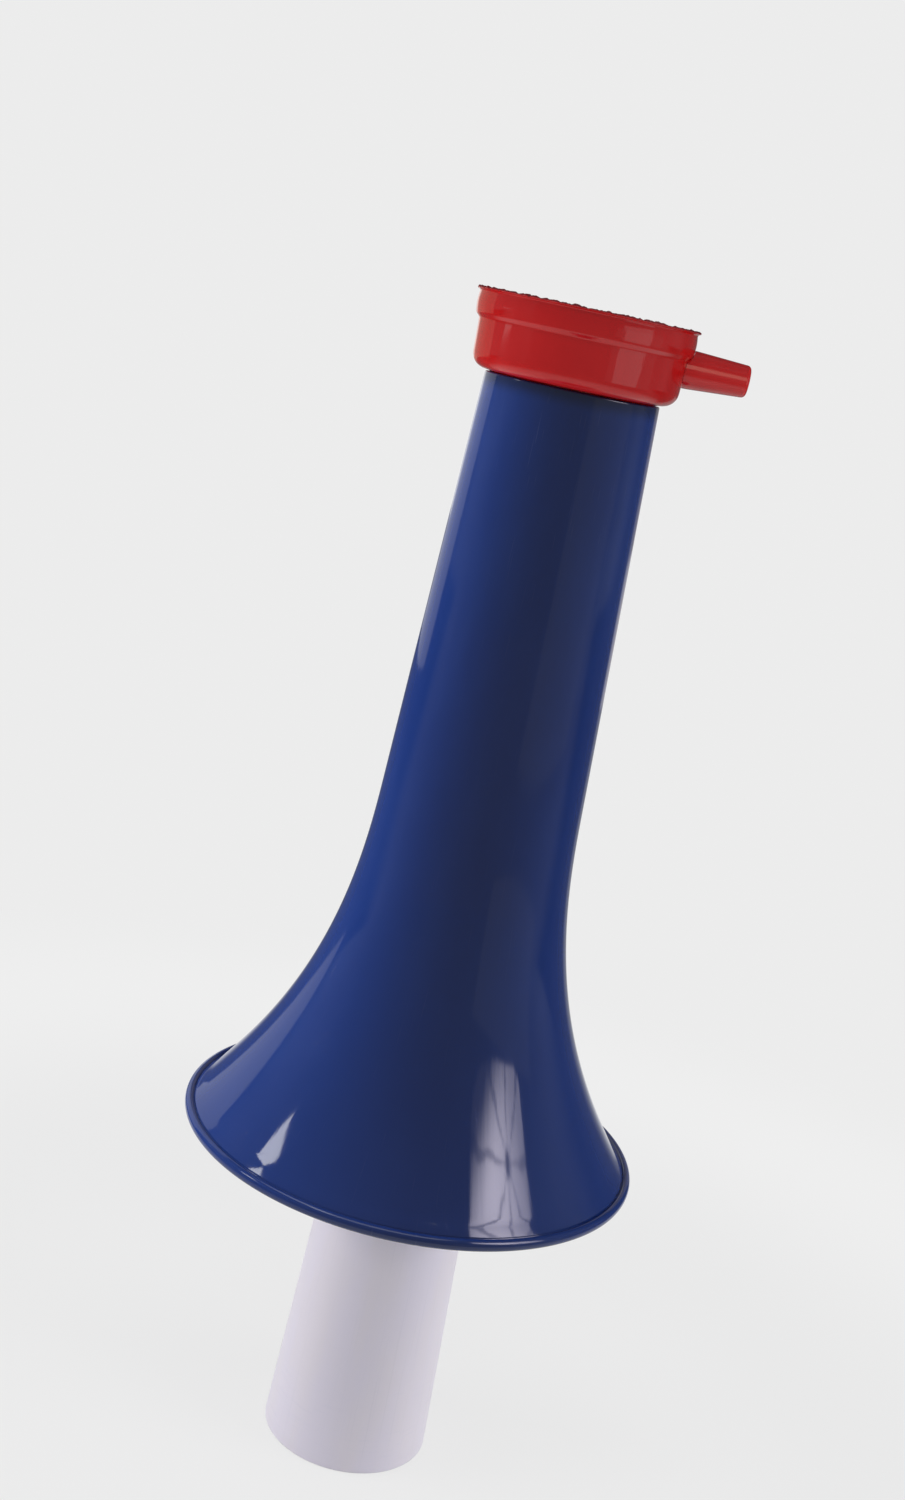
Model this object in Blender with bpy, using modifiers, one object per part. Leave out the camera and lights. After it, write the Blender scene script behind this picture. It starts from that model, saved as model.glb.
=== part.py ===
"""Telescopic horn with a film reed.

Air blown into the side mouthpiece fills the ring-shaped chamber around the top of
the tube. It lifts the film off the tube's rim in quick puffs, which the tube and
the bell make loud. The tube is one long cone held in the head. The horn slides on
it, and its throat jams on the tube's wide lower end when the horn is pulled down.

Metres, +Z up towards the head, mouthpiece towards +X, origin at the centre of the
tube's lower end. The horn is closed: pushed up against the head.
"""

import math

import bpy

# Fits
FIT = 0.0003  # gap between faces that touch
TAPER = math.radians(2.25)  # half-angle of the tube, its socket and the horn's throat

# Tube
TUBE_LENGTH = 0.3430
TUBE_END_RADIUS = 0.0253  # outer, at the wide lower end
TUBE_WALL = 0.0012
TUBE_EDGE = 0.0004

# Horn
HORN_LENGTH = 0.2264
THROAT_RADIUS = 0.0233  # inner, at the narrow upper end
HORN_WALL = 0.0012
THROAT_EDGE = 0.0004
BELL_RADIUS = 0.0680  # outer, over the rim's bead
FLARE_LENGTH = 0.1050
FLARE_POWER = 2.5
BEAD_RADIUS = 0.0017
CREST_RADIUS = 0.0005
RIM_GROOVE = 0.0002  # width between the crest and the bead
MOUTH_EDGE = 0.0005

# Head cup
CHAMBER_DEPTH = 0.0150  # from the film's seat down to the floor
RECESS_DEPTH = 0.0054  # from the lip down to the film's seat
LOWER_RADIUS = 0.0291
STEP_RADIUS = 0.0302  # outer radius just above the step
LIP_RADIUS = 0.0310
HEAD_WALL = 0.0012
FLOOR_WALL = 0.0012
STEP_DROP = 0.0030  # the outer step lies this far below the film's seat
STEP_HEIGHT = 0.0008
LOWER_DRAFT = 0.0003  # the lower wall narrows this much towards the floor
UPPER_BULGE = 0.0003
LIP_HEIGHT = 0.0016
LIP_EDGE = 0.0003
FLOOR_FILLET = 0.0042
SOCKET_UP = 0.0040
SOCKET_DOWN = 0.0070
SOCKET_WALL = 0.0013
COLLAR_LENGTH = 0.0040
COLLAR_WALL = 0.0013
COLLAR_LEAD = 0.0006

# Film and its ring
FILM_THICKNESS = 0.0003
FILM_MARGIN = 0.0003  # from the film's edge to the recess wall
RING_BORE = 0.0248
RING_DROP = 0.0008  # the ring lies this far below the lip
RING_LEAD = 0.0005
RING_CHAMFER = 0.0010

# Mouthpiece
MOUTHPIECE_DROP = 0.0051  # from the film's seat down to the bore's axis
MOUTHPIECE_REACH = 0.0465  # from the horn's axis to the tip
MOUTHPIECE_ROOT_RADIUS = 0.0053
MOUTHPIECE_TIP_RADIUS = 0.0044
MOUTHPIECE_EDGE = 0.0007
MOUTHPIECE_BORE = 0.0031
SPIGOT_WALL = 0.0008

# Facets
HORN_FACETS = 64
HEAD_FACETS = 48
MOUTHPIECE_FACETS = 24
FLARE_STEPS = 13
ARC_STEP = math.radians(30)
SHARP_ANGLE = math.radians(35)

# Places that follow from the sizes above, as heights over the tube's lower end
SEAT_Z = TUBE_LENGTH
HEAD_UNDERSIDE_Z = SEAT_Z - CHAMBER_DEPTH - FLOOR_WALL
THROAT_Z = HEAD_UNDERSIDE_Z - FIT
MOUTHPIECE_Z = SEAT_Z - MOUTHPIECE_DROP


def clear_scene():
    for obj in list(bpy.data.objects):
        bpy.data.objects.remove(obj, do_unlink=True)


def new_collection(name):
    collection = bpy.data.collections.new(name)
    bpy.context.scene.collection.children.link(collection)
    return collection


def new_material(name, color, roughness):
    material = bpy.data.materials.new(name)
    material.use_nodes = True
    shader = material.node_tree.nodes["Principled BSDF"]
    shader.inputs["Base Color"].default_value = color
    shader.inputs["Roughness"].default_value = roughness
    shader.inputs["Metallic"].default_value = 0.0
    return material


def arc(center_r, center_z, radius, start, end):
    """Points (radius, height) of a round stretch between two angles in degrees, 0 pointing outwards."""
    start, end = math.radians(start), math.radians(end)
    steps = max(2, round(abs(end - start) / ARC_STEP))
    points = []
    for i in range(steps + 1):
        angle = start + (end - start) * i / steps
        points.append((center_r + radius * math.cos(angle), center_z + radius * math.sin(angle)))
    return points


def turned(name, outline, facets, collection):
    """A body turned about its own Z axis.

    The outline runs down the outer side first. It is a closed loop, unless it
    starts and ends on the axis.
    """
    closed = outline[0][0] > 0
    count = len(outline)
    edges = [(i, (i + 1) % count) for i in range(count if closed else count - 1)]
    mesh = bpy.data.meshes.new(name)
    mesh.from_pydata([(r, 0, z) for r, z in outline], edges, [])
    obj = bpy.data.objects.new(name, mesh)
    collection.objects.link(obj)
    screw = obj.modifiers.new("turn", "SCREW")
    screw.angle = 2 * math.pi
    screw.steps = facets
    screw.render_steps = facets
    screw.use_merge_vertices = True
    screw.merge_threshold = 1e-6
    return obj


def combine(obj, other, operation):
    boolean = obj.modifiers.new(f"{operation.lower()} {other.name}", "BOOLEAN")
    boolean.operation = operation
    boolean.object = other


def as_helper(obj):
    obj.hide_render = True
    obj.display_type = "WIRE"
    return obj


def finish(obj, material):
    """Keep the shape that the modifiers make as the object's own mesh, and shade it."""
    graph = bpy.context.evaluated_depsgraph_get()
    mesh = bpy.data.meshes.new_from_object(obj.evaluated_get(graph))
    obj.modifiers.clear()
    obj.data = mesh
    mesh.name = obj.name
    mesh.materials.clear()
    mesh.materials.append(material)
    mesh.shade_smooth()
    mesh.set_sharp_from_angle(angle=SHARP_ANGLE)


def tube_radius(z):
    """Outer radius of the tube at a height over its lower end."""
    return TUBE_END_RADIUS - z * math.tan(TAPER)


def tube_outline():
    return [
        (tube_radius(TUBE_LENGTH), TUBE_LENGTH),
        *arc(TUBE_END_RADIUS - TUBE_EDGE, TUBE_EDGE, TUBE_EDGE, 0, -90),
        *arc(TUBE_END_RADIUS - TUBE_WALL + TUBE_EDGE, TUBE_EDGE, TUBE_EDGE, -90, -180),
        (tube_radius(TUBE_LENGTH) - TUBE_WALL, TUBE_LENGTH),
    ]


def horn_cone_radius(depth):
    """Outer radius of the straight cone at a depth below the throat's end."""
    return THROAT_RADIUS + HORN_WALL + depth * math.tan(TAPER)


def flare_wall():
    """Outer and inner points of the flare, from the cone down to the rim's crest."""
    end_depth = HORN_LENGTH - 2 * BEAD_RADIUS
    start_depth = end_depth - FLARE_LENGTH
    end_radius = BELL_RADIUS - 2 * BEAD_RADIUS - RIM_GROOVE - CREST_RADIUS
    rise = end_radius - horn_cone_radius(end_depth)
    outer = []
    inner = []
    for i in range(FLARE_STEPS + 1):
        share = i / FLARE_STEPS
        depth = start_depth + FLARE_LENGTH * share
        radius = horn_cone_radius(depth) + rise * share**FLARE_POWER
        slope = math.tan(TAPER) + rise * FLARE_POWER * share ** (FLARE_POWER - 1) / FLARE_LENGTH
        angle = math.atan(slope)
        outer.append((radius, -depth))
        inner.append((radius - HORN_WALL * math.cos(angle), -depth - HORN_WALL * math.sin(angle)))
    return outer, inner


def horn_outline():
    """Heights are counted from the throat's end, downwards."""
    outer, inner = flare_wall()
    rim = -HORN_LENGTH
    bead_r = BELL_RADIUS - BEAD_RADIUS
    crest_r = bead_r - BEAD_RADIUS - RIM_GROOVE
    crest_z = rim + 2 * BEAD_RADIUS - CREST_RADIUS
    mouth_r = bead_r - BEAD_RADIUS
    throat_outer = THROAT_RADIUS + HORN_WALL
    return [
        *arc(throat_outer - THROAT_EDGE, -THROAT_EDGE, THROAT_EDGE, 90, 0),
        *outer[:-1],
        *arc(crest_r, crest_z, CREST_RADIUS, 150, 0),
        *arc(bead_r, rim + BEAD_RADIUS, BEAD_RADIUS, 150, -90),
        *arc(mouth_r + MOUTH_EDGE, rim + MOUTH_EDGE, MOUTH_EDGE, -90, -180),
        *reversed(inner),
        *arc(THROAT_RADIUS + THROAT_EDGE, -THROAT_EDGE, THROAT_EDGE, 180, 90),
    ]


def head_side(clearance):
    """The cup's outer side from the lip down to the underside, moved out by a clearance.

    Heights in the head are counted from the film's seat.
    """
    upper = STEP_RADIUS
    bottom_radius = LOWER_RADIUS - LOWER_DRAFT
    barrel_top = RECESS_DEPTH - LIP_HEIGHT
    barrel_bottom = STEP_HEIGHT - STEP_DROP
    barrel = []
    for i in range(5):
        share = i / 4
        height = barrel_top + (barrel_bottom - barrel_top) * share
        barrel.append((upper + UPPER_BULGE * math.sin(math.pi * share), height))
    side = [
        *arc(LIP_RADIUS - LIP_EDGE, RECESS_DEPTH - LIP_EDGE, LIP_EDGE, 90, -60),
        *barrel,
        (LOWER_RADIUS, -STEP_DROP),
        *arc(
            bottom_radius - FLOOR_FILLET,
            FLOOR_FILLET - CHAMBER_DEPTH - FLOOR_WALL,
            FLOOR_FILLET,
            0,
            -90,
        ),
    ]
    return [(radius + clearance, height) for radius, height in side]


def head_cup_outline():
    recess = STEP_RADIUS - HEAD_WALL
    chamber = LOWER_RADIUS - HEAD_WALL
    chamber_bottom = chamber - LOWER_DRAFT
    floor = -CHAMBER_DEPTH
    underside = floor - FLOOR_WALL
    inner_fillet = FLOOR_FILLET - HEAD_WALL
    socket_bottom = underside - SOCKET_DOWN
    socket_top = floor + SOCKET_UP
    socket_outer = tube_radius(SEAT_Z + socket_bottom) + FIT + SOCKET_WALL
    collar_outer = THROAT_RADIUS - FIT
    collar_inner = collar_outer - COLLAR_WALL
    collar_bottom = underside - COLLAR_LENGTH
    return [
        *head_side(0),
        (collar_outer, underside),
        (collar_outer, collar_bottom + COLLAR_LEAD),
        (collar_outer - COLLAR_LEAD, collar_bottom),
        (collar_inner, collar_bottom),
        (collar_inner, underside),
        (socket_outer, underside),
        (socket_outer, socket_bottom),
        (tube_radius(SEAT_Z + socket_bottom) + FIT, socket_bottom),
        (tube_radius(SEAT_Z + socket_top) + FIT, socket_top),
        (socket_outer, socket_top),
        (socket_outer, floor),
        *arc(chamber_bottom - inner_fillet, floor + inner_fillet, inner_fillet, -90, 0),
        (chamber, -STEP_DROP),
        (chamber, 0),
        (recess, 0),
        (recess, RECESS_DEPTH),
    ]


def retaining_ring_outline():
    outer = STEP_RADIUS - HEAD_WALL - FIT
    bottom = FIT + FILM_THICKNESS + FIT
    top = RECESS_DEPTH - RING_DROP
    return [
        (RING_BORE + RING_CHAMFER, top),
        (outer, top),
        (outer, bottom + RING_LEAD),
        (outer - RING_LEAD, bottom),
        (RING_BORE, bottom),
        (RING_BORE, top - RING_CHAMFER),
    ]


def film_outline():
    edge = STEP_RADIUS - HEAD_WALL - FILM_MARGIN
    return [(0, FIT + FILM_THICKNESS), (edge, FIT + FILM_THICKNESS), (edge, FIT), (0, FIT)]


def spout_outline(inner_end):
    """The mouthpiece's outside, with heights counted outwards from the horn's axis."""
    tip = MOUTHPIECE_REACH
    return [
        (0, tip),
        *arc(MOUTHPIECE_TIP_RADIUS - MOUTHPIECE_EDGE, tip - MOUTHPIECE_EDGE, MOUTHPIECE_EDGE, 90, 0),
        (MOUTHPIECE_ROOT_RADIUS, LOWER_RADIUS),
        (MOUTHPIECE_ROOT_RADIUS, inner_end),
        (0, inner_end),
    ]


def rod_outline(radius, inner_end, outer_end):
    return [(0, outer_end), (radius, outer_end), (radius, inner_end), (0, inner_end)]


def make_head(parts, cutters, plastic, film):
    """The cup, film, ring and mouthpiece, all placed from the film's seat."""
    head = bpy.data.objects.new("head", None)
    head.location.z = SEAT_Z
    parts.objects.link(head)

    spigot_radius = MOUTHPIECE_BORE + SPIGOT_WALL
    chamber = LOWER_RADIUS - HEAD_WALL
    inside = chamber - MOUTHPIECE_ROOT_RADIUS
    outside = LIP_RADIUS + MOUTHPIECE_ROOT_RADIUS

    cup = turned("head_cup", head_cup_outline(), HEAD_FACETS, parts)
    hole_outline = rod_outline(spigot_radius + FIT, inside, outside)
    hole = turned("mouthpiece_hole", hole_outline, MOUTHPIECE_FACETS, cutters)
    combine(cup, as_helper(hole), "DIFFERENCE")

    ring = turned("retaining_ring", retaining_ring_outline(), HEAD_FACETS, parts)
    diaphragm = turned("diaphragm", film_outline(), HEAD_FACETS, parts)

    mouthpiece = turned("mouthpiece", spout_outline(inside), MOUTHPIECE_FACETS, parts)
    side = head_side(FIT)
    envelope_outline = [(0, side[0][1]), *side, (0, side[-1][1])]
    envelope = turned("cup_envelope", envelope_outline, HEAD_FACETS, cutters)
    spigot_outline = rod_outline(spigot_radius, chamber, STEP_RADIUS + MOUTHPIECE_ROOT_RADIUS)
    spigot = turned("mouthpiece_spigot", spigot_outline, MOUTHPIECE_FACETS, cutters)
    bore_outline = rod_outline(MOUTHPIECE_BORE, inside, MOUTHPIECE_REACH + MOUTHPIECE_EDGE)
    bore = turned("mouthpiece_bore", bore_outline, MOUTHPIECE_FACETS, cutters)
    combine(mouthpiece, as_helper(envelope), "DIFFERENCE")
    combine(mouthpiece, as_helper(spigot), "UNION")
    combine(mouthpiece, as_helper(bore), "DIFFERENCE")

    for obj in (cup, ring, diaphragm, mouthpiece, envelope, hole, spigot, bore):
        obj.parent = head
    for obj in (mouthpiece, hole, spigot, bore):
        obj.location.z = -MOUTHPIECE_DROP
        obj.rotation_euler.y = math.pi / 2
    bpy.context.view_layer.update()
    finish(cup, plastic)
    finish(mouthpiece, plastic)
    finish(ring, plastic)
    finish(diaphragm, film)


def make_tube(parts, plastic):
    tube = turned("tube", tube_outline(), HEAD_FACETS, parts)
    finish(tube, plastic)


def make_horn(parts, plastic):
    """The horn hangs from an empty on the slide's axis, at the throat's end."""
    slide = bpy.data.objects.new("horn_slide", None)
    slide.location.z = THROAT_Z
    parts.objects.link(slide)
    horn = turned("horn", horn_outline(), HORN_FACETS, parts)
    horn.parent = slide
    finish(horn, plastic)


def slide_travel():
    """How far the horn moves down before its throat meets the tube's wide end."""
    growth = TUBE_END_RADIUS + FIT - THROAT_RADIUS
    return THROAT_Z - growth / math.tan(TAPER)


def main():
    clear_scene()
    parts = new_collection("telescopic_horn")
    cutters = new_collection("cutters")
    red = new_material("red plastic", (0.42, 0.02, 0.02, 1.0), 0.25)
    blue = new_material("blue plastic", (0.02, 0.035, 0.16, 1.0), 0.18)
    white = new_material("white plastic", (0.68, 0.66, 0.72, 1.0), 0.4)
    clear = new_material("clear film", (0.85, 0.87, 0.9, 1.0), 0.15)
    make_head(parts, cutters, red, clear)
    make_tube(parts, white)
    make_horn(parts, blue)
    bpy.context.view_layer.update()
    print(f"horn slides down {slide_travel() * 1000:.1f} mm")


main()
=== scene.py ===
"""Looks of the telescopic horn: glossy blue horn, red reed head and satin white tube.

The closed horn stands on the lower end of its tube. The pieces are turned again with
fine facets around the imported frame, and each finish is procedural.
"""

import math

import bpy
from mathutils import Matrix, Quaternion, Vector


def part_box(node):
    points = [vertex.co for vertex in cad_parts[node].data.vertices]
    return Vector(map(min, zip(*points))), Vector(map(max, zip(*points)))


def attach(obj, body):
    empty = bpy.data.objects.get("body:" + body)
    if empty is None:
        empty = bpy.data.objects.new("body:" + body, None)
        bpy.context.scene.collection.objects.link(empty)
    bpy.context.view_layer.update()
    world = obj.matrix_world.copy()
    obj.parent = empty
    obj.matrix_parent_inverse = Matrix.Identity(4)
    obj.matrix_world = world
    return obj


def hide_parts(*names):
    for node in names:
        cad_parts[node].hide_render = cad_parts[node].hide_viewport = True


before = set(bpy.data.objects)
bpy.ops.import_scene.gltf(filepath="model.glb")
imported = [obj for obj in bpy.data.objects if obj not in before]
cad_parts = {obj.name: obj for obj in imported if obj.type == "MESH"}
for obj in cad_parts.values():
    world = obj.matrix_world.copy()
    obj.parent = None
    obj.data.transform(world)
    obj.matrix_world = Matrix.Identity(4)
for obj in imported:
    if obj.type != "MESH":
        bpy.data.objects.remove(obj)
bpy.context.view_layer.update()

# Fits and tapers of the construction
FIT = 0.0003
TAPER = math.radians(2.25)

# Heights and reaches that the frame gives
SEAT_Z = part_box("tube")[1][2]
THROAT_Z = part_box("horn")[1][2]
RIM_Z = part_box("horn")[0][2]
BELL_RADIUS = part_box("horn")[1][0]
HEAD_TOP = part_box("head_cup")[1][2]
LIP_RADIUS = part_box("head_cup")[1][1]
TUBE_END_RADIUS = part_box("tube")[1][0]
SPOUT_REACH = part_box("mouthpiece")[1][0]
SPOUT_Z = (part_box("mouthpiece")[0][2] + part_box("mouthpiece")[1][2]) / 2

# White tube, with its rubbed zone counted up from the wide end
TUBE_WALL = 0.0012
TUBE_EDGE = 0.0004
LOCK_TOP = (0.045, 0.010)
LOCK_END = (0.001, 0.004)

# Blue horn, with a painted shade band under the head and wear counted down from the
# throat, and wear counted up from the rim. The crest beside the bead has its centre
# CREST_SINK of its radius inside the flare.
HORN_WALL = 0.0012
THROAT_RADIUS = 0.0233
THROAT_EDGE = 0.0006
THROAT_SHADE = (0.0050, 0.0008)
NECK_WEAR = (0.0655, 0.0155)
RIM_WEAR = 0.0035
FLARE_LENGTH = 0.1050
FLARE_POWER = 2.5
BEAD_WIDTH = 0.0028
BEAD_HEIGHT = 0.0034
BEAD_START = 138
CREST_RADIUS = 0.0004
CREST_SINK = 0.7
CREST_START = 40
MOUTH_EDGE = 0.0005

# Red cup, with heights counted from the film's seat
CHAMBER_DEPTH = 0.0150
RECESS_DEPTH = HEAD_TOP - SEAT_Z
LOWER_RADIUS = 0.0291
STEP_RADIUS = 0.0302
HEAD_WALL = 0.0012
STEP_DROP = 0.0030
STEP_HEIGHT = 0.0011
LOWER_DRAFT = 0.0003
UPPER_BULGE = 0.0003
LIP_HEIGHT = 0.0014
LIP_EDGE = 0.0006
LIP_EDGE_END = -50
LIP_SHADE = (0.0010, 0.0006)
LIP_CUT = 0.0011
LIP_WAVE = 0.0015
LIP_WAVE_LENGTH = 0.0014
LIP_WAVE_DEPTH = 2
LIP_WAVE_TOP = 0.85
FLOOR_FILLET = 0.0042
SOCKET_UP = 0.0040
SOCKET_DOWN = 0.0070
SOCKET_WALL = 0.0013
COLLAR_LENGTH = 0.0040
COLLAR_WALL = 0.0013
COLLAR_LEAD = 0.0006
CUP_EDGE = 0.0003

# Film and the ring that holds it
FILM_THICKNESS = 0.0003
FILM_MARGIN = 0.0003
FILM_CREASES = (0.012, 0.025)
RING_BORE = 0.0248
RING_DROP = 0.0008
RING_LEAD = 0.0005
RING_CHAMFER = 0.0010
RING_EDGE = 0.00015

# Red mouthpiece, with reaches counted from the horn's axis. Its finish turns satin over
# SPOUT_SATIN beside the lip.
SPOUT_ROOT_RADIUS = 0.0053
SPOUT_TIP_RADIUS = 0.0044
SPOUT_EDGE = 0.0012
SPOUT_BORE = 0.0031
SPOUT_BORE_EDGE = 0.0004
SPOUT_SATIN = 0.002
SPIGOT_WALL = 0.0008
ROOT_GAP = 0.00005

# Facets around the turned pieces, steps along their round stretches, and mesh work
HORN_FACETS = 256
TUBE_FACETS = 192
HEAD_FACETS = 480
SPOUT_FACETS = 96
FLARE_STEPS = 56
BARREL_STEPS = 10
ARC_STEP = math.radians(12)
LONG_STRETCH = 0.004
EDGE_HOLD = 0.0005
EDGE_SEGMENTS = 3
SHARP_ANGLE = math.radians(35)
SEED_SIZE = 0.001
MERGE_DISTANCE = 1e-6

# Camera, from the photograph's rim ellipse and side lines
CAMERA_PLACE = (-0.0113, -0.5180, 0.3405)
CAMERA_TURN = (76.58, -11.82, 2.80)
CAMERA_LENS = 44.4
CAMERA_SENSOR = 36.0

# Lamps
LIGHT_TARGET = Vector((0, 0, 0.18))
SIDE_SIZE = (0.9, 1.2)
LEFT_PANEL_FADE = (0.48, 0.66)
NEUTRAL = (1.0, 1.0, 1.0)
BLUSH = (1.02, 0.94, 1.06)
WARM = (1.10, 0.80, 0.62)
PEACH = (1.08, 0.97, 0.92)

# Photo umbrella, in metres from its hub. CLOTH_RIGHT, CLOTH_LEFT, CLOTH_TOP and
# CLOTH_BOTTOM are one over the cloth's reach on that side. CLOTH_LEFT_TOP draws the
# left side in towards the top, and CLOTH_SLANT tilts the lower side.
UMBRELLA_HUB = (0.08, -0.10)
CLOTH_RIGHT = 3.9
CLOTH_LEFT = -1.7
CLOTH_LEFT_TOP = -3.0
CLOTH_TOP = 1.4
CLOTH_BOTTOM = -3.5
CLOTH_SLANT = 0.15
CLOTH_EDGE = (0.92, 1.0)
HOT_SPOT = (-0.15, 0.13)
HOT_REACH = 0.50
HOT_GLOW = 9.0
CLOTH_GLOW = 2.6
HUB_EDGE = (0.02, 0.05)
HUB_SHADE = 0.15
RIBS = 8
RIB_TURN = math.radians(-13)
RIB_WOBBLE = 0.35
RIB_EDGE = (0.75, 0.98)
RIB_SHADE = 0.45
DIM_SIDE = (-0.46, -0.13)
DIM_SLANT = 0.4
DIM_SHADE = 0.06

# Floor, which goes over into the pale backdrop
PALE = (0.84,) * 3
FLOOR_RADIUS = 3.0
FLOOR_FACETS = 96
FLOOR_GAP = 0.0005
FLOOR_COLOR = (0.40, 0.40, 0.40)
FLOOR_NEAR = (1.0,) * 3
FLOOR_FADE = (0.10, 0.45)
FLOOR_GLOW = 0.75

# Room that the gloss mirrors: dim, darker behind the horn, with a pale sheet under it,
# a lighter strip across the floor behind, and a pale backdrop
ROOM = 0.33
ROOM_TINT = (0.95, 0.97, 1.0)
ROOM_BACK = 0.11
ROOM_TURN = (0.22, 0.62)
SHEET = (0.30, 0.60)
STRIP = 0.32
STRIP_START = (0.0, 0.4)
STRIP_SIDES = (0.62, 0.20)
STRIP_SOFT = 0.05
BACKDROP_FACING = (-0.08, 0.997)
BACKDROP_EDGE = (0.93, 0.99)

# Finishes: indices of refraction, roughness, ranges of the clouds and linear colours
GLOSS_IOR = 1.5
SATIN_IOR = 1.46
BLUE_ROUGHNESS = 0.045
RED_ROUGHNESS = 0.055
WHITE_ROUGHNESS = 0.34
FILM_ROUGHNESS = 0.06
FILM_OPACITY = 0.34
COLOR_CLOUD = (0.35, 0.70)
SHEEN_CLOUD = (0.30, 0.70)
BLUE = (0.0060, 0.0260, 0.1520)
BLUE_PALE = (0.0085, 0.0305, 0.165)
SCUFF_BLUE = (0.09, 0.11, 0.26)
SHADE_BLUE = (0.003, 0.008, 0.030)
RED = (0.305, 0.0022, 0.0027)
RED_PALE = (0.325, 0.0040, 0.0045)
RED_SHADE = (0.130, 0.002, 0.006)
WHITE = (0.715, 0.675, 0.775)
WHITE_WARM = (0.725, 0.680, 0.750)
RUB_GREY = (0.50, 0.49, 0.56)
RUB_BLUE = (0.40, 0.43, 0.62)
FILM = (0.80, 0.82, 0.86)
FILM_PALE = (0.88, 0.90, 0.93)


class Number:
    """A number socket on which Python's operators add Math nodes."""

    def __init__(self, graph, socket):
        self.graph = graph
        self.socket = socket

    def __add__(self, other):
        return self.graph.math("ADD", self, other)

    __radd__ = __add__

    def __mul__(self, other):
        return self.graph.math("MULTIPLY", self, other)

    __rmul__ = __mul__

    def __sub__(self, other):
        return self.graph.math("SUBTRACT", self, other)

    def __rsub__(self, other):
        return self.graph.math("SUBTRACT", other, self)


class Graph:
    """Adds nodes to the node tree of a material, a lamp or the world."""

    def __init__(self, tree):
        self.tree = tree

    def set(self, node, sockets):
        for key, value in sockets.items():
            socket = node.inputs[key]
            if isinstance(value, Number):
                self.tree.links.new(value.socket, socket)
            elif isinstance(value, bpy.types.NodeSocket):
                self.tree.links.new(value, socket)
            elif socket.type == "RGBA":
                socket.default_value = (*value[:3], 1.0)
            else:
                socket.default_value = value

    def node(self, kind, settings=None, sockets=None):
        node = self.tree.nodes.new(kind)
        for name, value in (settings or {}).items():
            setattr(node, name, value)
        self.set(node, sockets or {})
        return node

    def math(self, operation, first, second=0.0):
        node = self.node("ShaderNodeMath", {"operation": operation}, {0: first, 1: second})
        return Number(self, node.outputs[0])

    def vector(self, operation, *inputs):
        sockets = dict(enumerate(inputs))
        return self.node("ShaderNodeVectorMath", {"operation": operation}, sockets).outputs[0]

    def place(self):
        return self.node("ShaderNodeTexCoord").outputs["Object"]

    def axis(self, name):
        axes = self.node("ShaderNodeSeparateXYZ", None, {0: self.place()})
        return Number(self, axes.outputs[name])

    def radius(self):
        flat = self.vector("MULTIPLY", self.place(), (1, 1, 0))
        node = self.node("ShaderNodeVectorMath", {"operation": "LENGTH"}, {0: flat})
        return Number(self, node.outputs["Value"])

    def noise(self, vector, scale, detail=2.0, roughness=0.5):
        sockets = {"Vector": vector, "Scale": scale, "Detail": detail, "Roughness": roughness}
        return Number(self, self.node("ShaderNodeTexNoise", None, sockets).outputs["Fac"])

    def flank_noise(self, around, along, detail=2.0, roughness=0.5):
        """Noise along a turned surface, in counts per radian and per metre of height."""
        outward = self.vector("NORMALIZE", self.vector("MULTIPLY", self.place(), (1, 1, 0)))
        turned = self.vector("MULTIPLY", outward, (around, around, 0))
        flank = self.vector("MULTIPLY_ADD", self.place(), (0, 0, along), turned)
        return self.noise(flank, 1.0, detail, roughness)

    def ramp(self, value, low, high, to_low=0.0, to_high=1.0):
        settings = {"clamp": True, "interpolation_type": "SMOOTHSTEP"}
        sockets = {
            "Value": value,
            "From Min": low,
            "From Max": high,
            "To Min": to_low,
            "To Max": to_high,
        }
        return Number(self, self.node("ShaderNodeMapRange", settings, sockets).outputs["Result"])

    def mix(self, share, first, second):
        """A mixed colour. The node's colour sockets are inputs 6 and 7 and output 2."""
        node = self.node("ShaderNodeMix", {"data_type": "RGBA"})
        self.set(node, {0: share, 6: first, 7: second})
        return node.outputs[2]

    def bump(self, height, distance, strength=1.0, normal=None):
        sockets = {"Height": height, "Distance": distance, "Strength": strength}
        if normal is not None:
            sockets["Normal"] = normal
        return self.node("ShaderNodeBump", None, sockets).outputs["Normal"]

    def show(self, surface):
        output = next(node for node in self.tree.nodes if "OUTPUT" in node.type)
        self.tree.links.new(surface, output.inputs["Surface"])

    def glow(self, strength):
        emission = next(node for node in self.tree.nodes if node.type == "EMISSION")
        self.set(emission, {"Strength": strength})


class Finish(Graph):
    """One material, built from its Principled BSDF outwards."""

    def __init__(self, name, constants):
        self.material = bpy.data.materials.new(name)
        self.material.use_nodes = True
        super().__init__(self.material.node_tree)
        self.shader = self.tree.nodes["Principled BSDF"]
        self.set(self.shader, constants)

    def surface(self, sockets):
        self.set(self.shader, sockets)


def deselect_all():
    if bpy.context.object and bpy.context.object.mode != "OBJECT":
        bpy.ops.object.mode_set(mode="OBJECT")
    bpy.ops.object.select_all(action="DESELECT")


def pick(piece):
    deselect_all()
    piece.select_set(True)
    bpy.context.view_layer.objects.active = piece


def arc(center_r, center_z, radius, start, end, rise=None):
    """Points (radius, height) of a round or oval stretch between two angles in degrees."""
    rise = rise or radius
    start, end = math.radians(start), math.radians(end)
    steps = max(2, round(abs(end - start) / ARC_STEP))
    points = []
    for i in range(steps + 1):
        angle = start + (end - start) * i / steps
        points.append((center_r + radius * math.cos(angle), center_z + rise * math.sin(angle)))
    return points


def hold_edges(outline):
    """Adds points near the ends of long straight stretches, which then shade flat."""
    held = []
    for start, end in zip(outline, [*outline[1:], outline[0]]):
        held.append(start)
        length = math.dist(start, end)
        if length > LONG_STRETCH:
            for share in (EDGE_HOLD / length, 1 - EDGE_HOLD / length):
                held.append(tuple(a + (b - a) * share for a, b in zip(start, end)))
    return held


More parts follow.
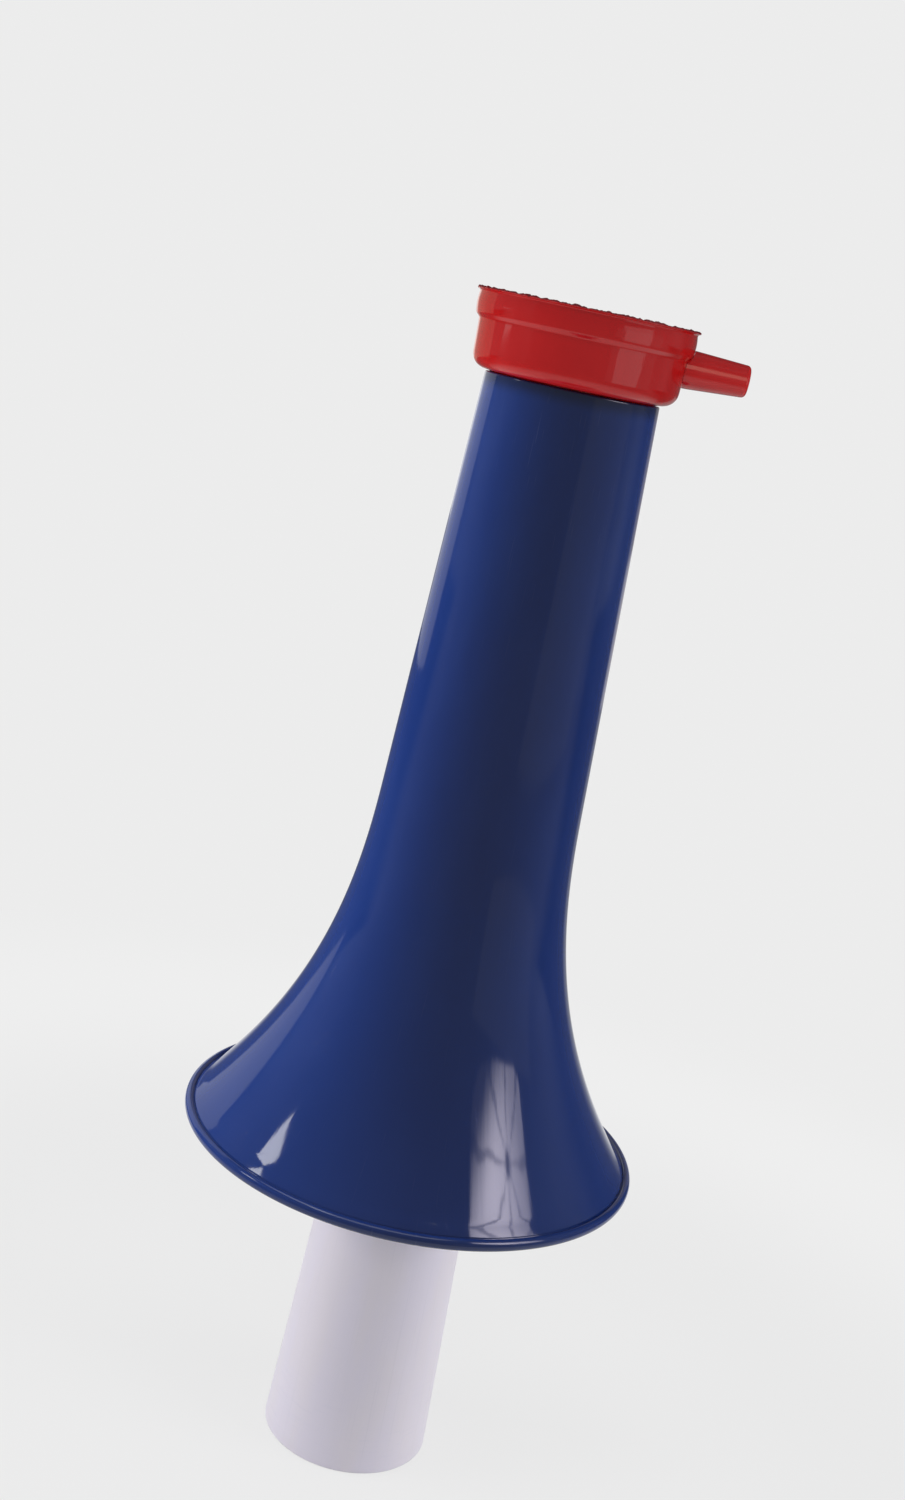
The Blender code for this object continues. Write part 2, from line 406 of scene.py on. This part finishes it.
def turn(name, outline, facets):
    """A piece turned about the Z axis from a closed outline of (radius, height) points."""
    outline = hold_edges(outline)
    deselect_all()
    first = outline[0]
    bpy.ops.mesh.primitive_plane_add(size=SEED_SIZE, location=(first[0], 0, first[1]))
    piece = bpy.context.object
    piece.name = name
    piece.data.name = name
    bpy.ops.object.mode_set(mode="EDIT")
    bpy.ops.mesh.select_mode(type="VERT")
    bpy.ops.mesh.select_all(action="SELECT")
    bpy.ops.mesh.merge(type="CENTER")
    previous = first
    for point in [*outline[1:], first]:
        step = (point[0] - previous[0], 0, point[1] - previous[1])
        bpy.ops.mesh.extrude_region_move(TRANSFORM_OT_translate={"value": step})
        previous = point
    bpy.ops.mesh.select_all(action="SELECT")
    bpy.ops.mesh.spin(steps=facets, angle=2 * math.pi, center=(0, 0, 0), axis=(0, 0, 1))
    bpy.ops.mesh.select_all(action="SELECT")
    bpy.ops.mesh.remove_doubles(threshold=MERGE_DISTANCE)
    bpy.ops.mesh.normals_make_consistent(inside=False)
    bpy.ops.object.mode_set(mode="OBJECT")
    bpy.ops.object.transform_apply(location=True, rotation=True, scale=True)
    return piece


def lay_along_spout(piece):
    """Lays a piece that was turned about Z onto the mouthpiece's axis, along +X."""
    pick(piece)
    piece.rotation_euler.y = math.pi / 2
    piece.location.z = SPOUT_Z
    bpy.ops.object.transform_apply(location=True, rotation=True, scale=True)
    return piece


def combine(piece, other, operation):
    pick(piece)
    modifier = piece.modifiers.new("joined_form", "BOOLEAN")
    modifier.operation = operation
    modifier.solver = "EXACT"
    modifier.object = other
    bpy.ops.object.modifier_apply(modifier=modifier.name)
    bpy.data.objects.remove(other)


def soften_edges(piece, width):
    pick(piece)
    modifier = piece.modifiers.new("soft_edges", "BEVEL")
    modifier.width = width
    modifier.segments = EDGE_SEGMENTS
    modifier.limit_method = "ANGLE"
    modifier.angle_limit = SHARP_ANGLE
    bpy.ops.object.modifier_apply(modifier=modifier.name)


def smooth(piece):
    pick(piece)
    bpy.ops.object.shade_smooth_by_angle(angle=SHARP_ANGLE)


def dress(piece, finish, body, node):
    piece.data.materials.clear()
    piece.data.materials.append(finish)
    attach(piece, body)
    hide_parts(node)


def tube_radius(z):
    return TUBE_END_RADIUS - z * math.tan(TAPER)


def tube_outline():
    return [
        (tube_radius(SEAT_Z), SEAT_Z),
        *arc(TUBE_END_RADIUS - TUBE_EDGE, TUBE_EDGE, TUBE_EDGE, 0, -90),
        *arc(TUBE_END_RADIUS - TUBE_WALL + TUBE_EDGE, TUBE_EDGE, TUBE_EDGE, -90, -180),
        (tube_radius(SEAT_Z) - TUBE_WALL, SEAT_Z),
    ]


def horn_cone_radius(depth):
    return THROAT_RADIUS + HORN_WALL + depth * math.tan(TAPER)


def flare_wall():
    """Outer and inner points of the flare, from the cone down to the rim's crest."""
    end_depth = THROAT_Z - RIM_Z - BEAD_HEIGHT
    start_depth = end_depth - FLARE_LENGTH
    end_radius = BELL_RADIUS - BEAD_WIDTH - CREST_RADIUS
    rise = end_radius - horn_cone_radius(end_depth)
    outer = []
    inner = []
    for i in range(FLARE_STEPS + 1):
        share = i / FLARE_STEPS
        depth = start_depth + FLARE_LENGTH * share
        radius = horn_cone_radius(depth) + rise * share**FLARE_POWER
        slope = math.tan(TAPER) + rise * FLARE_POWER * share ** (FLARE_POWER - 1) / FLARE_LENGTH
        angle = math.atan(slope)
        height = THROAT_Z - depth
        outer.append((radius, height))
        inner.append((radius - HORN_WALL * math.cos(angle), height - HORN_WALL * math.sin(angle)))
    return outer, inner


def horn_outline():
    outer, inner = flare_wall()
    bead_r = BELL_RADIUS - BEAD_WIDTH / 2
    bead_z = RIM_Z + BEAD_HEIGHT / 2
    mouth_r = BELL_RADIUS - BEAD_WIDTH
    crest_r = mouth_r - CREST_RADIUS * CREST_SINK
    crest_z = RIM_Z + BEAD_HEIGHT - CREST_RADIUS * CREST_SINK
    throat_outer = THROAT_RADIUS + HORN_WALL
    return [
        *arc(throat_outer - THROAT_EDGE, THROAT_Z - THROAT_EDGE, THROAT_EDGE, 90, 0),
        *outer[:-1],
        *arc(crest_r, crest_z, CREST_RADIUS, CREST_START, 0),
        *arc(bead_r, bead_z, BEAD_WIDTH / 2, BEAD_START, -90, BEAD_HEIGHT / 2),
        *arc(mouth_r + MOUTH_EDGE, RIM_Z + MOUTH_EDGE, MOUTH_EDGE, -90, -180),
        *reversed(inner),
        *arc(THROAT_RADIUS + THROAT_EDGE, THROAT_Z - THROAT_EDGE, THROAT_EDGE, 180, 90),
    ]


def cup_side(clearance=0.0):
    """The cup's outer side from the lip down to the underside, moved out by a clearance."""
    fillet_r = LOWER_RADIUS - LOWER_DRAFT - FLOOR_FILLET
    fillet_z = FLOOR_FILLET - CHAMBER_DEPTH - HEAD_WALL
    barrel_top = RECESS_DEPTH - LIP_HEIGHT
    barrel_bottom = STEP_HEIGHT - STEP_DROP
    barrel = []
    for i in range(BARREL_STEPS + 1):
        share = i / BARREL_STEPS
        height = barrel_top + (barrel_bottom - barrel_top) * share
        barrel.append((STEP_RADIUS + UPPER_BULGE * math.sin(math.pi * share), height))
    side = [
        *arc(LIP_RADIUS - LIP_EDGE, RECESS_DEPTH - LIP_EDGE, LIP_EDGE, 90, LIP_EDGE_END),
        *barrel,
        (LOWER_RADIUS, -STEP_DROP),
        *arc(fillet_r, fillet_z, FLOOR_FILLET, 0, -90),
    ]
    return [(radius + clearance, SEAT_Z + height) for radius, height in side]


def cup_outline():
    recess = STEP_RADIUS - HEAD_WALL
    chamber = LOWER_RADIUS - HEAD_WALL
    chamber_bottom = chamber - LOWER_DRAFT
    floor = SEAT_Z - CHAMBER_DEPTH
    underside = floor - HEAD_WALL
    inner_fillet = FLOOR_FILLET - HEAD_WALL
    socket_bottom = underside - SOCKET_DOWN
    socket_top = floor + SOCKET_UP
    socket_outer = tube_radius(socket_bottom) + FIT + SOCKET_WALL
    collar_outer = THROAT_RADIUS - FIT
    collar_inner = collar_outer - COLLAR_WALL
    collar_bottom = underside - COLLAR_LENGTH
    return [
        *cup_side(),
        (collar_outer, underside),
        (collar_outer, collar_bottom + COLLAR_LEAD),
        (collar_outer - COLLAR_LEAD, collar_bottom),
        (collar_inner, collar_bottom),
        (collar_inner, underside),
        (socket_outer, underside),
        (socket_outer, socket_bottom),
        (tube_radius(socket_bottom) + FIT, socket_bottom),
        (tube_radius(socket_top) + FIT, socket_top),
        (socket_outer, socket_top),
        (socket_outer, floor),
        *arc(chamber_bottom - inner_fillet, floor + inner_fillet, inner_fillet, -90, 0),
        (chamber, SEAT_Z - STEP_DROP),
        (chamber, SEAT_Z),
        (recess, SEAT_Z),
        (recess, HEAD_TOP),
    ]


def ring_outline():
    outer = STEP_RADIUS - HEAD_WALL - FIT
    bottom = SEAT_Z + FIT + FILM_THICKNESS + FIT
    top = HEAD_TOP - RING_DROP
    return [
        (RING_BORE + RING_CHAMFER, top),
        (outer, top),
        (outer, bottom + RING_LEAD),
        (outer - RING_LEAD, bottom),
        (RING_BORE, bottom),
        (RING_BORE, top - RING_CHAMFER),
    ]


def film_outline():
    edge = STEP_RADIUS - HEAD_WALL - FILM_MARGIN
    middle = RING_BORE / 2
    low = SEAT_Z + FIT
    high = low + FILM_THICKNESS
    return [(0, high), (middle, high), (edge, high), (edge, low), (middle, low), (0, low)]


def rod_outline(radius, inner_end, outer_end):
    return [(0, outer_end), (radius, outer_end), (radius, inner_end), (0, inner_end)]


def spout_outline(inner_end):
    """The mouthpiece's outside: a rounded tip and a straight taper that runs into the cup."""
    tip = SPOUT_REACH
    return [
        (0, tip),
        *arc(SPOUT_TIP_RADIUS - SPOUT_EDGE, tip - SPOUT_EDGE, SPOUT_EDGE, 90, 0),
        (SPOUT_ROOT_RADIUS, STEP_RADIUS),
        (SPOUT_ROOT_RADIUS, inner_end),
        (0, inner_end),
    ]


def make_cup():
    cup = turn("head_cup_shell", cup_outline(), HEAD_FACETS)
    soften_edges(cup, CUP_EDGE)
    inside = LOWER_RADIUS - HEAD_WALL - SPOUT_ROOT_RADIUS
    outside = LIP_RADIUS + SPOUT_ROOT_RADIUS
    hole = rod_outline(SPOUT_BORE + SPIGOT_WALL + FIT, inside, outside)
    combine(cup, lay_along_spout(turn("spigot_hole", hole, SPOUT_FACETS)), "DIFFERENCE")
    cut_lip(cup)
    smooth(cup)
    return cup


def cut_lip(cup):
    """The lip was trimmed by hand, so its top edge waves slightly."""
    lip = cup.vertex_groups.new(name="lip")
    for vertex in cup.data.vertices:
        share = 1 - (HEAD_TOP - vertex.co.z) / LIP_CUT
        if share > 0:
            lip.add([vertex.index], share, "REPLACE")
    waves = bpy.data.textures.new("lip_waves", "CLOUDS")
    waves.noise_scale = LIP_WAVE_LENGTH
    waves.noise_depth = LIP_WAVE_DEPTH
    pick(cup)
    modifier = cup.modifiers.new("lip_waves", "DISPLACE")
    modifier.texture = waves
    modifier.direction = "Z"
    modifier.vertex_group = lip.name
    modifier.mid_level = LIP_WAVE_TOP
    modifier.strength = LIP_WAVE
    bpy.ops.object.modifier_apply(modifier=modifier.name)


def make_mouthpiece():
    chamber = LOWER_RADIUS - HEAD_WALL
    inside = chamber - SPOUT_ROOT_RADIUS
    spout = lay_along_spout(turn("mouthpiece_shell", spout_outline(inside), SPOUT_FACETS))
    side = cup_side(ROOT_GAP)
    envelope = turn("cup_envelope", [(0, side[0][1]), *side, (0, side[-1][1])], HEAD_FACETS)
    combine(spout, envelope, "DIFFERENCE")
    spigot = rod_outline(SPOUT_BORE + SPIGOT_WALL, chamber, STEP_RADIUS + SPOUT_ROOT_RADIUS)
    combine(spout, lay_along_spout(turn("spigot", spigot, SPOUT_FACETS)), "UNION")
    tip = SPOUT_REACH
    bore = [
        (0, tip + SPOUT_EDGE),
        (SPOUT_BORE + SPOUT_BORE_EDGE, tip + SPOUT_EDGE),
        (SPOUT_BORE + SPOUT_BORE_EDGE, tip),
        (SPOUT_BORE, tip - SPOUT_BORE_EDGE),
        (SPOUT_BORE, inside),
        (0, inside),
    ]
    combine(spout, lay_along_spout(turn("bore", bore, SPOUT_FACETS)), "DIFFERENCE")
    smooth(spout)
    return spout


def make_ring():
    ring = turn("retaining_ring_shell", ring_outline(), HEAD_FACETS)
    soften_edges(ring, RING_EDGE)
    smooth(ring)
    return ring


def make_film():
    film = turn("diaphragm_shell", film_outline(), TUBE_FACETS)
    smooth(film)
    return film


def make_tube():
    tube = turn("sound_tube", tube_outline(), TUBE_FACETS)
    smooth(tube)
    return tube


def make_horn():
    horn = turn("bell_horn", horn_outline(), HORN_FACETS)
    smooth(horn)
    return horn


def blue_finish():
    finish = Finish("blue_gloss_plastic", {"IOR": GLOSS_IOR})
    height = finish.axis("Z")
    cloud = finish.flank_noise(1.5, 20, 3)
    draw_lines = finish.flank_noise(22, 12, 4, 0.6)
    waves = finish.flank_noise(2.5, 16)
    path = finish.flank_noise(9, 30, 1)
    hairs = finish.ramp(finish.math("ABSOLUTE", path - 0.5), 0.0, 0.006, 1.0, 0.0)
    patches = finish.ramp(finish.flank_noise(4, 70), 0.54, 0.64)
    scuffs = finish.ramp(finish.flank_noise(90, 60, 2, 0.6), 0.66, 0.74)
    neck_wear = finish.ramp(height, THROAT_Z - NECK_WEAR[0], THROAT_Z - NECK_WEAR[1])
    rim_wear = finish.ramp(height, RIM_Z + RIM_WEAR, RIM_Z)
    wear = scuffs * (0.06 + neck_wear * 0.25 + rim_wear * 0.35)
    # Painted shade: the horn's top few millimetres are darkened where the head overhangs it
    painted_shade = finish.ramp(height, THROAT_Z - THROAT_SHADE[0], THROAT_Z - THROAT_SHADE[1])
    sheen = finish.ramp(cloud, *SHEEN_CLOUD) * 0.03
    color = finish.mix(finish.ramp(cloud, *COLOR_CLOUD), BLUE, BLUE_PALE)
    color = finish.mix(wear, color, SCUFF_BLUE)
    color = finish.mix(painted_shade * 0.75, color, SHADE_BLUE)
    normal = finish.bump(waves, 0.00012, 0.4)
    finish.surface({
        "Base Color": color,
        "Roughness": BLUE_ROUGHNESS + sheen + hairs * patches * 0.2 + wear * 0.4,
        "Normal": finish.bump(draw_lines, 0.00003, 0.5, normal),
    })
    return finish.material


def red_finish():
    finish = Finish("red_gloss_plastic", {"IOR": GLOSS_IOR})
    cloud = finish.noise(finish.place(), 60, 3)
    flow = finish.flank_noise(6, 40, 3, 0.6)
    cut = finish.flank_noise(60, 900, 2, 0.6)
    # Painted shade: a thin band along the lip's top edge is darkened and broken up by the cut noise;
    # the edge is also rougher there
    edge = finish.ramp(finish.axis("Z"), HEAD_TOP - LIP_SHADE[0], HEAD_TOP - LIP_SHADE[1])
    spout = finish.ramp(finish.axis("X"), LIP_RADIUS, LIP_RADIUS + SPOUT_SATIN)
    sheen = finish.ramp(cloud, *SHEEN_CLOUD) * 0.035
    color = finish.mix(finish.ramp(cloud, *COLOR_CLOUD), RED, RED_PALE)
    color = finish.mix(edge * finish.ramp(cut, 0.3, 0.55, 0.85, 1.0), color, RED_SHADE)
    normal = finish.bump(flow, 0.0002, 0.4)
    finish.surface({
        "Base Color": color,
        "Roughness": RED_ROUGHNESS + sheen + edge * 0.4 + spout * 0.10,
        "Normal": finish.bump(cut, 0.00005, edge, normal),
    })
    return finish.material


def white_finish():
    finish = Finish("white_satin_plastic", {"IOR": SATIN_IOR})
    height = finish.axis("Z")
    cloud = finish.flank_noise(2, 25, 3)
    grain = finish.noise(finish.place(), 1800, 2)
    streaks = finish.ramp(finish.flank_noise(45, 14, 3, 0.6), 0.58, 0.72)
    rings = finish.ramp(finish.flank_noise(2, 900, 3, 0.65), 0.55, 0.70)
    lock_rings = rings * finish.ramp(height, *LOCK_TOP) * finish.ramp(height, *LOCK_END)
    sheen = finish.ramp(cloud, *SHEEN_CLOUD) * 0.08
    color = finish.mix(finish.ramp(cloud, *COLOR_CLOUD), WHITE, WHITE_WARM)
    color = finish.mix(streaks * 0.12, color, RUB_GREY)
    color = finish.mix(lock_rings * 0.05, color, RUB_BLUE)
    normal = finish.bump(cloud, 0.0003, 0.3)
    finish.surface({
        "Base Color": color,
        "Roughness": WHITE_ROUGHNESS + sheen + lock_rings * 0.08,
        "Normal": finish.bump(grain, 0.00002, 0.4, normal),
    })
    return finish.material


def film_finish():
    finish = Finish("clear_film", {"IOR": GLOSS_IOR})
    cloud = finish.noise(finish.place(), 50, 2)
    creases = finish.flank_noise(4, 0, 3, 0.6) * finish.ramp(finish.radius(), *FILM_CREASES)
    finish.surface({
        "Base Color": finish.mix(cloud, FILM, FILM_PALE),
        "Roughness": FILM_ROUGHNESS + cloud * 0.1,
        "Alpha": FILM_OPACITY + cloud * 0.12,
        "Normal": finish.bump(creases, 0.0004, 0.5),
    })
    return finish.material


def make_camera():
    data = bpy.data.cameras.new("camera")
    data.sensor_fit = "AUTO"
    data.sensor_width = CAMERA_SENSOR
    data.lens = CAMERA_LENS
    camera = bpy.data.objects.new("camera", data)
    camera.location = CAMERA_PLACE
    camera.rotation_euler = [math.radians(angle) for angle in CAMERA_TURN]
    bpy.context.scene.collection.objects.link(camera)
    bpy.context.scene.camera = camera


def soft_light(
    name, azimuth, elevation, distance, size, radiance,
    pieces=None, tint=NEUTRAL, roll=0, shiny=True, matte=True,
):
    """A rectangular lamp that faces the horn's middle and can light some pieces only.

    Azimuth 0 is the camera's side and grows to the right. The radiance is that of
    the lamp's face, where 1 shows a white surface. A lamp that isn't shiny lights
    the colour alone, and one that isn't matte only mirrors in the gloss.
    """
    azimuth, elevation = math.radians(azimuth), math.radians(elevation)
    level = math.cos(elevation)
    away = Vector((math.sin(azimuth) * level, -math.cos(azimuth) * level, math.sin(elevation)))
    data = bpy.data.lights.new(name, "AREA")
    data.shape = "RECTANGLE"
    data.size, data.size_y = size
    data.energy = radiance * math.pi * size[0] * size[1]
    data.color = tint
    lamp = bpy.data.objects.new(name, data)
    lamp.location = LIGHT_TARGET + away * distance
    turn_about_axis = Quaternion((0, 0, 1), math.radians(roll))
    lamp.rotation_euler = (away.to_track_quat("Z", "Y") @ turn_about_axis).to_euler()
    lamp.visible_glossy = shiny
    lamp.visible_diffuse = matte
    lamp.visible_camera = False
    bpy.context.scene.collection.objects.link(lamp)
    if pieces:
        lit = bpy.data.collections.new(name + "_pieces")
        for piece in pieces:
            lit.objects.link(piece)
        lamp.light_linking.receiver_collection = lit
    return lamp


def lamp_face(lamp):
    """The lamp's graph and the coordinates of its face, across and up from 0 to 1."""
    lamp.data.use_nodes = True
    graph = Graph(lamp.data.node_tree)
    face = graph.node("ShaderNodeNewGeometry").outputs["Parametric"]
    axes = graph.node("ShaderNodeSeparateXYZ", None, {0: face}).outputs
    return graph, face, Number(graph, axes["X"]), Number(graph, axes["Y"])


def fade_upwards(lamp, low, middle):
    """Lets a lamp's face grow brighter from its lower edge to its middle."""
    graph, _, _, up = lamp_face(lamp)
    graph.glow(graph.ramp(up, 0.0, 0.5, low, middle))


def draw_umbrella(lamp):
    """Gives a lamp the look of a photo umbrella: a bright cloth, a hub and crooked ribs."""
    graph, face, across, up = lamp_face(lamp)
    across = (across - 0.5) * lamp.data.size - UMBRELLA_HUB[0]
    up = (up - 0.5) * lamp.data.size_y - UMBRELLA_HUB[1]

    wobble = graph.noise(face, 7.0, 3) - 0.5
    angle = graph.math("ARCTAN2", up, across) + wobble * RIB_WOBBLE
    ribs = graph.math("COSINE", (angle - RIB_TURN) * RIBS)
    rib_shade = graph.ramp(ribs, *RIB_EDGE, 1.0, RIB_SHADE)
    reach = graph.math("SQRT", across * across + up * up)
    hub_shade = graph.ramp(reach, *HUB_EDGE, HUB_SHADE, 1.0)

    left = graph.math("MAXIMUM", up, 0.0) * CLOTH_LEFT_TOP + CLOTH_LEFT
    wide = graph.math("MAXIMUM", across * CLOTH_RIGHT, across * left)
    tall = graph.math("MAXIMUM", up * CLOTH_TOP, (up + across * CLOTH_SLANT) * CLOTH_BOTTOM)
    edge = graph.math("POWER", wide * wide * wide * wide + tall * tall * tall * tall, 0.25)
    cloth = graph.ramp(edge, *CLOTH_EDGE, 1.0, 0.0)

    hot_across, hot_up = across - HOT_SPOT[0], up - HOT_SPOT[1]
    hot = graph.math("SQRT", hot_across * hot_across + hot_up * hot_up)
    glow = graph.ramp(hot, 0.0, HOT_REACH, HOT_GLOW, CLOTH_GLOW)
    dim = graph.ramp(across + up * DIM_SLANT, *DIM_SIDE, DIM_SHADE, 1.0)
    graph.glow(glow * cloth * hub_shade * rib_shade * dim)


def make_floor():
    deselect_all()
    bpy.ops.mesh.primitive_circle_add(
        vertices=FLOOR_FACETS, radius=FLOOR_RADIUS, fill_type="NGON", location=(0, 0, -FLOOR_GAP)
    )
    floor = bpy.context.object
    floor.name = "floor"
    bpy.ops.object.transform_apply(location=True)

    pale = Finish("pale_floor", {"Roughness": 0.9, "Specular IOR Level": 0.0})
    pale.surface({"Base Color": FLOOR_COLOR})
    x, y, radius = pale.axis("X"), pale.axis("Y"), pale.radius()
    rays = pale.node("ShaderNodeLightPath").outputs
    sight = Number(pale, rays["Is Camera Ray"])
    mirrored = pale.math("MAXIMUM", rays["Is Glossy Ray"], rays["Is Transmission Ray"])
    far = pale.ramp(radius, *FLOOR_FADE)
    seen_color = pale.mix(far, FLOOR_NEAR, PALE)

    back = pale.ramp(y, *STRIP_START)
    right_of_strip = pale.ramp(x - y * STRIP_SIDES[0], -STRIP_SOFT, STRIP_SOFT, 1.0, 0.0)
    left_of_strip = pale.ramp(x + y * STRIP_SIDES[1], -STRIP_SOFT, STRIP_SOFT)
    strip = right_of_strip * left_of_strip
    level = ROOM - back * (ROOM - ROOM_BACK) + back * strip * (STRIP - ROOM_BACK)
    mirrored_color = pale.mix(pale.ramp(radius, *SHEET), PALE, level)

    color = pale.mix(mirrored, seen_color, mirrored_color)
    glow = pale.node("ShaderNodeEmission", None, {"Color": color, "Strength": 1.0})
    share = sight * pale.ramp(far, 0.0, 1.0, FLOOR_GLOW, 1.0) + mirrored
    sockets = {0: share, 1: pale.shader.outputs[0], 2: glow.outputs[0]}
    pale.show(pale.node("ShaderNodeMixShader", None, sockets).outputs[0])
    floor.data.materials.append(pale.material)
    return floor


def make_world():
    """A dim room with a pale backdrop behind the horn, as the gloss mirrors it."""
    world = bpy.data.worlds.new("studio")
    bpy.context.scene.world = world
    world.use_nodes = True
    graph = Graph(world.node_tree)
    direction = graph.node("ShaderNodeTexCoord").outputs["Generated"]
    axes = graph.node("ShaderNodeSeparateXYZ", None, {0: direction}).outputs
    x, y = Number(graph, axes["X"]), Number(graph, axes["Y"])
    rays = graph.node("ShaderNodeLightPath").outputs
    mirrored = graph.math("MAXIMUM", rays["Is Glossy Ray"], rays["Is Transmission Ray"])
    behind = graph.ramp(x * BACKDROP_FACING[0] + y * BACKDROP_FACING[1], *BACKDROP_EDGE)
    level = ROOM - mirrored * graph.ramp(y, *ROOM_TURN) * (ROOM - ROOM_BACK)
    room = graph.node("ShaderNodeBackground", None, {"Color": ROOM_TINT, "Strength": level})
    pale = graph.node("ShaderNodeBackground", None, {"Color": PALE, "Strength": 1.0})
    share = graph.math("MAXIMUM", rays["Is Camera Ray"], mirrored * behind)
    sockets = {0: share, 1: room.outputs[0], 2: pale.outputs[0]}
    graph.show(graph.node("ShaderNodeMixShader", None, sockets).outputs[0])


def make_studio(horn, tube, cup, mouthpiece, *hidden):
    """The floor, the room and the lamps.

    Each lamp gives its name, azimuth, elevation, distance, size, radiance and pieces.
    """
    floor = make_floor()
    make_world()
    body = [horn, tube]
    head = [cup, mouthpiece, *hidden]
    rest = [tube, *head, floor]

    # Lamps that light the colour
    soft_light("horn_left", -100, 5, 1.4, SIDE_SIZE, 9.0, [horn], shiny=False)
    soft_light("horn_left_high", -100, 45, 1.4, SIDE_SIZE, 2.5, [horn], shiny=False)
    soft_light("horn_right", 110, 5, 1.4, SIDE_SIZE, 6.5, [horn], shiny=False)
    soft_light("left_lamp", -75, 5, 1.4, SIDE_SIZE, 6.0, rest, shiny=False)
    soft_light("right_lamp", 75, 5, 1.4, SIDE_SIZE, 5.5, rest, shiny=False)
    soft_light("top_lamp", -10, 65, 1.2, (1.1, 0.35), 3.0, rest, shiny=False)
    soft_light("head_bounce", -15, -37, 0.264, (0.4, 0.05), 12.0, head, shiny=False)
    soft_light("head_bounce_left", -100, -45, 0.22, (0.3, 0.05), 12.0, head, shiny=False)
    soft_light("head_left", -130, 5, 1.4, SIDE_SIZE, 2.5, head, shiny=False)

    # Lamps and panels that the gloss mirrors
    left_panel = soft_light("left_panel", -141, 17, 1.4, (1.25, 1.4), 1.0, body, matte=False)
    fade_upwards(left_panel, *LEFT_PANEL_FADE)
    soft_light("head_left_panel", -140, 5, 1.4, (1.5, 1.4), 0.36, head, WARM, matte=False)
    soft_light("left_window", -79.3, 27.9, 1.2, (0.17, 0.17), 8.0, [horn], roll=57, matte=False)
    soft_light("left_strip", -90, 4.9, 1.2, (0.22, 0.014), 1.3, head, matte=False)
    soft_light("right_back_panel", 166, 8, 1.3, (0.95, 1.0), 0.25, [horn], PEACH, matte=False)
    soft_light("left_high_panel", -85, 64, 1.2, (1.0, 0.25), 2.0, [horn], matte=False)
    soft_light("right_panel", 58, -1, 1.3, (1.4, 0.60), 0.12, matte=False)
    soft_light("overhead", -10, 68, 1.2, (1.1, 0.55), 1.5, body, matte=False)
    soft_light("head_softbox", 54, 3, 1.2, (0.68, 0.7), 0.62, head, matte=False)
    soft_light("spout_light", 8, 24, 1.2, (1.1, 0.45), 1.7, [mouthpiece], WARM)
    soft_light("spout_fill", 20, 0, 1.2, (0.9, 0.9), 1.4, [mouthpiece], shiny=False)
    umbrella = soft_light("right_umbrella", 62, 30, 1.2, (0.90, 1.00), 1.0, [horn], BLUSH, matte=False)
    draw_umbrella(umbrella)


def make_object():
    blue = blue_finish()
    red = red_finish()
    white = white_finish()
    film = film_finish()
    horn = make_horn()
    tube = make_tube()
    cup = make_cup()
    mouthpiece = make_mouthpiece()
    ring = make_ring()
    diaphragm = make_film()
    dress(horn, blue, "horn", "horn")
    dress(tube, white, "head_and_tube", "tube")
    dress(cup, red, "head_and_tube", "head_cup")
    dress(mouthpiece, red, "head_and_tube", "mouthpiece")
    dress(ring, red, "head_and_tube", "retaining_ring")
    dress(diaphragm, film, "head_and_tube", "diaphragm")
    return horn, tube, cup, mouthpiece, ring, diaphragm


make_camera()
make_studio(*make_object())
bpy.context.scene.view_settings.view_transform = "Standard"
